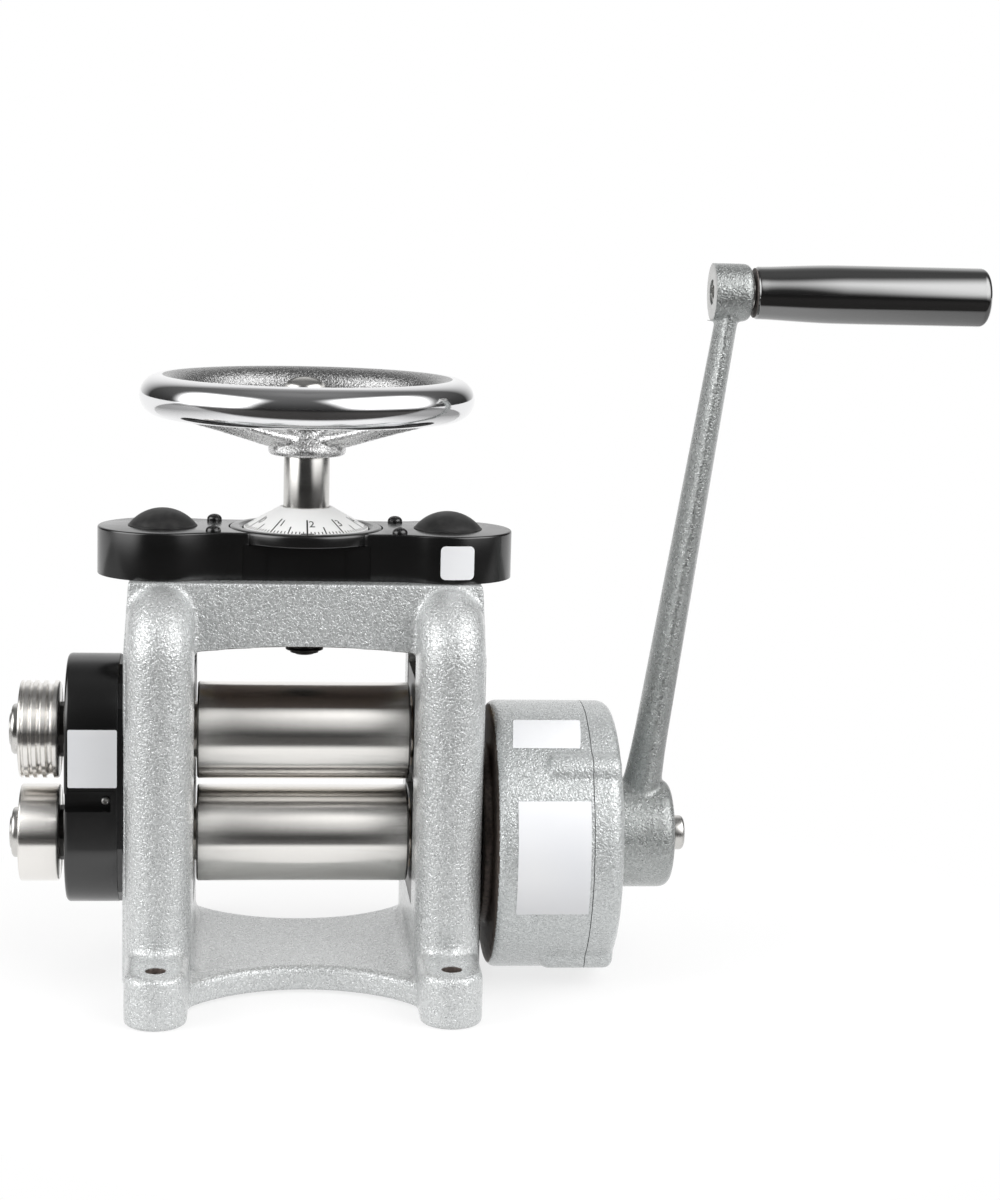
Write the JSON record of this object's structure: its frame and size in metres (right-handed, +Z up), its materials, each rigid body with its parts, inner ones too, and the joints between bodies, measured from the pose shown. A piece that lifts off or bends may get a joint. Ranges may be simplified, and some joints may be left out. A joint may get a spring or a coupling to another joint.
{
  "type": "jewellers rolling mill",
  "caption": "Hand cranked bench mill that rolls sheet and wire between two steel rolls, with a dial handwheel for the gap and a geared crank",
  "frame": {"origin": "on the bench under the feet, at the middle of the whole mill from the end caps to the grip", "axes": "+X along the rolls towards the crank, -Y the side where metal is fed in, +Z up"},
  "size_m": [0.5972, 0.254, 0.4451],
  "materials": {
    "hammered_paint": "silver grey hammered paint on a casting, satin",
    "ground_steel": "hardened steel, ground and polished",
    "turned_steel": "turned steel, bright",
    "dark_steel": "blackened steel, oiled",
    "bronze": "turned bearing bronze",
    "wheel_chrome": "polished plating on a casting",
    "black_plastic": "moulded black plastic, satin",
    "black_rubber": "moulded black rubber, satin",
    "white_plastic": "moulded white plastic with black printed marks",
    "black_gloss": "turned black plastic, glossy"
  },
  "bodies": {
    "frame": {"frame_casting": "hammered_paint", "top_cover": "black_plastic", "dial_bezel": "black_plastic", "cover_cap_left": "black_rubber", "cover_cap_right": "black_rubber", "screw_nut_left": "bronze", "screw_nut_right": "bronze", "spindle_bush": "bronze", "lower_chock_left": "dark_steel", "lower_chock_right": "dark_steel", "lower_bush_left": "bronze", "lower_bush_right": "bronze", "idler_pin_left": "turned_steel", "idler_pin_right": "turned_steel", "side_cover": "black_plastic", "side_cover_plate": "black_plastic", "gearbox_case": "hammered_paint", "gearbox_cover": "hammered_paint", "ring_gear": "turned_steel", "crank_bush": "bronze", "return_spring_front_left": "turned_steel", "return_spring_rear_left": "turned_steel", "return_spring_front_right": "turned_steel", "return_spring_rear_right": "turned_steel"},
    "handwheel_and_spindle": {"handwheel": "wheel_chrome", "handwheel_bolt": "turned_steel", "spindle": "turned_steel", "dial": "white_plastic", "spindle_pinion": "turned_steel", "thrust_washer": "dark_steel", "spindle_nut": "dark_steel"},
    "idler_left": {"idler_gear_left": "turned_steel"},
    "idler_right": {"idler_gear_right": "turned_steel"},
    "upper_chocks": {"upper_chock_left": "dark_steel", "upper_chock_right": "dark_steel", "upper_bush_left": "bronze", "upper_bush_right": "bronze"},
    "screw_left": {"adjusting_screw_left": "turned_steel", "screw_gear_left": "turned_steel"},
    "screw_right": {"adjusting_screw_right": "turned_steel", "screw_gear_right": "turned_steel"},
    "upper_shaft": {"upper_roll": "ground_steel", "upper_sync_gear": "dark_steel", "upper_extension_roll": "ground_steel", "upper_end_cap": "turned_steel"},
    "lower_shaft": {"lower_roll": "ground_steel", "lower_sync_gear": "dark_steel", "lower_extension_roll": "ground_steel", "lower_end_cap": "turned_steel", "planet_carrier": "turned_steel"},
    "planet_1": {"planet_gear_1": "turned_steel"},
    "planet_2": {"planet_gear_2": "turned_steel"},
    "planet_3": {"planet_gear_3": "turned_steel"},
    "crank": {"crank_arm": "hammered_paint", "crank_shaft_with_sun_gear": "turned_steel", "crank_bolt": "turned_steel", "crank_washer": "dark_steel", "grip_rod": "turned_steel"},
    "grip": {"grip": "black_gloss"}
  },
  "joints": [
    {"name": "handwheel_turn", "type": "hinge", "parent": "frame", "child": "handwheel_and_spindle", "pos_m": [-0.11935, 0, 0.3], "axis": [0, 0, 1], "range_deg": [-1790, 360]},
    {"name": "chock_slide", "type": "slide", "parent": "frame", "child": "upper_chocks", "axis": [0, 0, 1], "range_m": [-0.005, 0.001], "deforming": ["return_spring_front_left", "return_spring_rear_left", "return_spring_front_right", "return_spring_rear_right"]},
    {"name": "idler_left_turn", "type": "hinge", "parent": "frame", "child": "idler_left", "pos_m": [-0.15535, 0, 0.262], "axis": [0, 0, 1], "range_deg": [-258, 1286]},
    {"name": "idler_right_turn", "type": "hinge", "parent": "frame", "child": "idler_right", "pos_m": [-0.08335, 0, 0.262], "axis": [0, 0, 1], "range_deg": [-258, 1286]},
    {"name": "screw_left_turn", "type": "hinge", "parent": "upper_chocks", "child": "screw_left", "pos_m": [-0.20635, 0, 0.23], "axis": [0, 0, 1], "range_deg": [-900, 180]},
    {"name": "screw_right_turn", "type": "hinge", "parent": "upper_chocks", "child": "screw_right", "pos_m": [-0.03235, 0, 0.23], "axis": [0, 0, 1], "range_deg": [-900, 180]},
    {"name": "crank_turn", "type": "hinge", "parent": "frame", "child": "crank", "pos_m": [0.09065, 0, 0.087], "axis": [1, 0, 0], "continuous": true},
    {"name": "lower_shaft_turn", "type": "hinge", "parent": "frame", "child": "lower_shaft", "pos_m": [-0.11935, 0, 0.087], "axis": [1, 0, 0], "continuous": true},
    {"name": "upper_shaft_turn", "type": "hinge", "parent": "upper_chocks", "child": "upper_shaft", "pos_m": [-0.11935, 0, 0.152], "axis": [1, 0, 0], "continuous": true},
    {"name": "planet_1_turn", "type": "hinge", "parent": "lower_shaft", "child": "planet_1", "pos_m": [0.02765, 0, 0.12825], "axis": [1, 0, 0], "continuous": true},
    {"name": "planet_2_turn", "type": "hinge", "parent": "lower_shaft", "child": "planet_2", "pos_m": [0.02765, -0.03572, 0.06638], "axis": [1, 0, 0], "continuous": true},
    {"name": "planet_3_turn", "type": "hinge", "parent": "lower_shaft", "child": "planet_3", "pos_m": [0.02765, 0.03572, 0.06638], "axis": [1, 0, 0], "continuous": true},
    {"name": "grip_spin", "type": "hinge", "parent": "crank", "child": "grip", "pos_m": [0.22065, 0, 0.427], "axis": [1, 0, 0], "continuous": true}
  ],
  "couplings": [
    {"joint": "chock_slide", "follows": "handwheel_turn", "m_per_rad": 0.00015915},
    {"joint": "idler_left_turn", "follows": "handwheel_turn", "ratio": -0.71429},
    {"joint": "idler_right_turn", "follows": "handwheel_turn", "ratio": -0.71429},
    {"joint": "screw_left_turn", "follows": "handwheel_turn", "ratio": 0.5},
    {"joint": "screw_right_turn", "follows": "handwheel_turn", "ratio": 0.5},
    {"joint": "lower_shaft_turn", "follows": "crank_turn", "ratio": 0.2},
    {"joint": "upper_shaft_turn", "follows": "crank_turn", "ratio": -0.2},
    {"joint": "planet_1_turn", "follows": "crank_turn", "ratio": -0.53333},
    {"joint": "planet_2_turn", "follows": "crank_turn", "ratio": -0.53333},
    {"joint": "planet_3_turn", "follows": "crank_turn", "ratio": -0.53333}
  ]
}
